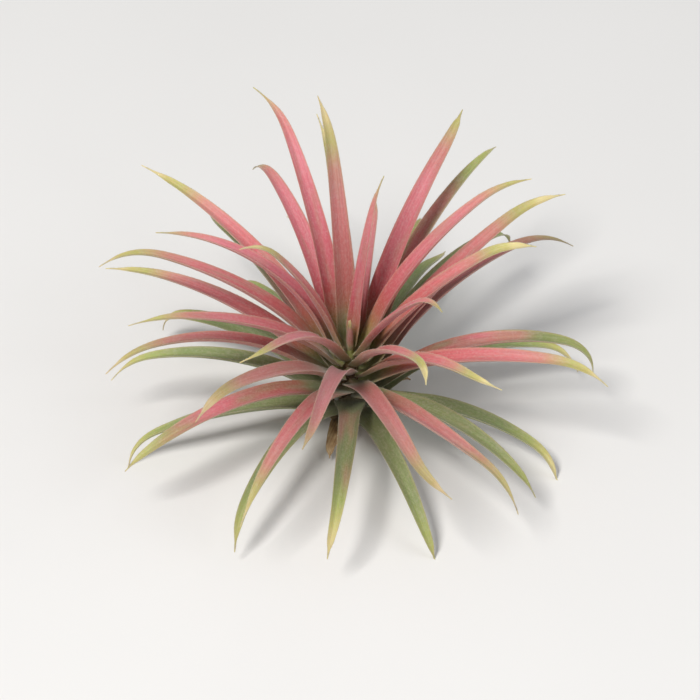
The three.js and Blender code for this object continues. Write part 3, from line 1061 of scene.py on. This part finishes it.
def build_leaves():
    pink_leaf = leaf_material("pink_leaf_skin")
    green_leaf = leaf_material("green_leaf_skin")
    for i in range(LEAF_COUNT):
        young = i < PINK_LEAVES
        number = f"{i + 1:02d}"
        fine_leaf(
            settle(habit_of(i)),
            f"fine_leaf_{number}",
            f"leaf_{number}",
            pink_leaf if young else green_leaf,
            pinkness(i),
            scale_count=SCALE_COUNT,
        )
    for k in range(BUD_LEAVES):
        fine_leaf(
            bud_habit(k),
            f"bud_leaf_{k + 1}",
            None,
            pink_leaf,
            BUD_PINKNESS,
            scale_count=BUD_SCALES,
        )


def build_dry_leaves():
    paper = dry_material()
    for i in range(DRY_COUNT):
        name = f"dry_leaf_{i + 1}"
        habit = settle(habit_of(LEAF_COUNT + i))
        fine_leaf(habit, f"fine_{name}", name, paper, 0.0, wrinkle=DRY_WRINKLE)


def stem_profile():
    """The heights and radii of the stem's rings: a bevelled foot, a taper and a small dome."""
    low = np.linspace(0, STEM_HEIGHT, STEM_STATIONS)
    radius = np.array([stem_radius(z) for z in low])
    radius = np.minimum(radius, STEM_FOOT_RADIUS - STEM_BEVEL + low)
    dome = np.linspace(0, math.pi / 2, STEM_DOME_RINGS + 2)[1:-1]
    z = np.concatenate([low, STEM_HEIGHT + STEM_DOME * np.sin(dome)])
    return z, np.concatenate([radius, STEM_TOP_RADIUS * np.cos(dome)])


def scar_depth(z, turn):
    """How deep the leaf scars are at every height and turn of the stem."""
    depth = np.zeros((len(z), len(turn)))
    for i in range(LEAF_COUNT + DRY_COUNT):
        azimuth = (FIRST_AZIMUTH + i * GOLDEN_ANGLE) * DEG
        height = YOUNGEST_FOOT_Z - FOOT_STEP * i
        apart = (turn - azimuth + math.pi) % (2 * math.pi) - math.pi
        aside = apart[None, :] * stem_radius(height)
        off = np.hypot((z[:, None] - height) * SCAR_FLATNESS, aside) / SCAR_SIZE
        depth += SCAR_DEPTH * np.exp(-off * off) * ramp(0, SCAR_FREE_FOOT, z)[:, None]
    return depth


def stem_points():
    """The points of the stem, ring by ring with its two ends last, and the number of its rings."""
    z, radius = stem_profile()
    turn = 2 * math.pi * np.arange(STEM_SIDES) / STEM_SIDES
    r = radius[:, None] - scar_depth(z, turn)
    points = np.stack([r * np.cos(turn), r * np.sin(turn), np.broadcast_to(z[:, None], r.shape)], axis=2)
    ends = [[0, 0, 0], [0, 0, STEM_HEIGHT + STEM_DOME]]
    return np.vstack([points.reshape(-1, 3), ends]), len(z)


def spline(points, count):
    """Points along a smooth cubic curve through the given ones."""
    guide = [2 * points[0] - points[1], *points, 2 * points[-1] - points[-2]]
    made = []
    for share in np.linspace(0, len(points) - 1, count):
        k = min(int(share), len(points) - 2)
        t = share - k
        a, b, c, d = guide[k : k + 4]
        made.append(
            0.5 * (2 * b + (c - a) * t + (2 * a - 5 * b + 4 * c - d) * t**2 + (3 * b - a - 3 * c + d) * t**3)
        )
    return np.array(made)


def root_line(index):
    """The middle line of a root, which wanders out of the stem's foot."""
    azimuth = (360 / ROOT_COUNT) * (index + ROOT_TURN_SPREAD * draw(index, "root_turn")) * DEG
    reach = ROOT_REACH * (1 + ROOT_REACH_SPREAD * draw(index, "root_reach"))
    out = np.array([math.cos(azimuth), math.sin(azimuth), 0])
    aside = np.array([-out[1], out[0], 0])
    start = STEM_FOOT_RADIUS - ROOT_SINK
    guide = []
    for k in range(ROOT_BENDS + 1):
        share = k / ROOT_BENDS
        sway = ROOT_WIGGLE * draw(index, "root_sway", k) * share
        guide.append(out * lerp(start, reach, share) + aside * sway + [0, 0, ROOT_RADIUS + ROOT_LIFT])
    return spline(guide, ROOT_STATIONS)


def root_points(index):
    """The points of a tapering, knotty root that comes down to the table, with its two ends last."""
    line = root_line(index)
    share = np.linspace(0, 1, ROOT_STATIONS)
    knots = np.sin(share * KNOT_WAVES[0] + index) * np.sin(share * KNOT_WAVES[1] + 2 * index)
    radius = ROOT_RADIUS * lerp(1.0, ROOT_TIP_SHARE, share**ROOT_TAPER) * (1 + KNOT_DEPTH * knots)
    line[:, 2] = lerp(line[:, 2], radius + TABLE_GAP, ramp(0, ROOT_LYING, share))
    way = np.gradient(line, axis=0)
    way /= np.linalg.norm(way, axis=1)[:, None]
    level = np.stack([-way[:, 1], way[:, 0], np.zeros(len(way))], axis=1)
    level /= np.linalg.norm(level, axis=1)[:, None]
    rising = np.cross(way, level)
    turn = 2 * math.pi * np.arange(ROOT_SIDES) / ROOT_SIDES
    ring = level[:, None, :] * np.cos(turn)[None, :, None] + rising[:, None, :] * np.sin(turn)[None, :, None]
    points = line[:, None, :] + ring * radius[:, None, None]
    ends = [line[0], line[-1] + way[-1] * radius[-1]]
    return np.vstack([points.reshape(-1, 3), ends])


def build_stem():
    wood = stem_material()
    points, stations = stem_points()
    stem = piece("fine_stem", points, tube_faces(stations, STEM_SIDES), wood, {"place": points})
    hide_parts("stem")
    for index in range(ROOT_COUNT):
        points = root_points(index)
        faces = tube_faces(ROOT_STATIONS, ROOT_SIDES)
        piece(f"root_{index + 1}", points, faces, wood, {"place": points})


def build_floor():
    half = FLOOR_SIZE / 2
    mesh = bpy.data.meshes.new("table")
    corners = [(-half, -half, 0), (half, -half, 0), (half, half, 0), (-half, half, 0)]
    mesh.from_pydata(corners, [], [(0, 1, 2, 3)])
    mesh.materials.append(floor_material())
    table = bpy.data.objects.new("table", mesh)
    bpy.context.scene.collection.objects.link(table)


def build_lamp(name, place, size, power, colour):
    """A round soft light that looks at the plant's heart."""
    light = bpy.data.lights.new(name, "AREA")
    light.shape = "DISK"
    light.size = size
    light.energy = power
    light.color = colour
    made = bpy.data.objects.new(name, light)
    made.location = place
    made.rotation_euler = (HEART - Vector(place)).to_track_quat("-Z", "Y").to_euler()
    bpy.context.scene.collection.objects.link(made)


def build_light():
    world = bpy.data.worlds.new("pale_room")
    world.use_nodes = True
    background = world.node_tree.nodes["Background"]
    background.inputs["Color"].default_value = ROOM_COLOUR
    background.inputs["Strength"].default_value = ROOM_STRENGTH
    bpy.context.scene.world = world
    for name, lamp in LAMPS.items():
        build_lamp(name, **lamp)


def build_camera():
    lens = bpy.data.cameras.new("camera")
    lens.angle = FIELD_OF_VIEW * DEG
    lens.clip_start = NEAREST_SEEN
    camera = bpy.data.objects.new("camera", lens)
    elevation = CAMERA_ELEVATION * DEG
    camera.location = HEART + CAMERA_DISTANCE * Vector((0, -math.cos(elevation), math.sin(elevation)))
    camera.rotation_euler = (AIM - camera.location).to_track_quat("-Z", "Y").to_euler()
    bpy.context.scene.collection.objects.link(camera)
    bpy.context.scene.camera = camera


build_leaves()
build_dry_leaves()
build_stem()
build_floor()
build_light()
build_camera()
bpy.context.scene.view_settings.view_transform = "Standard"

bpy.context.view_layer.update()
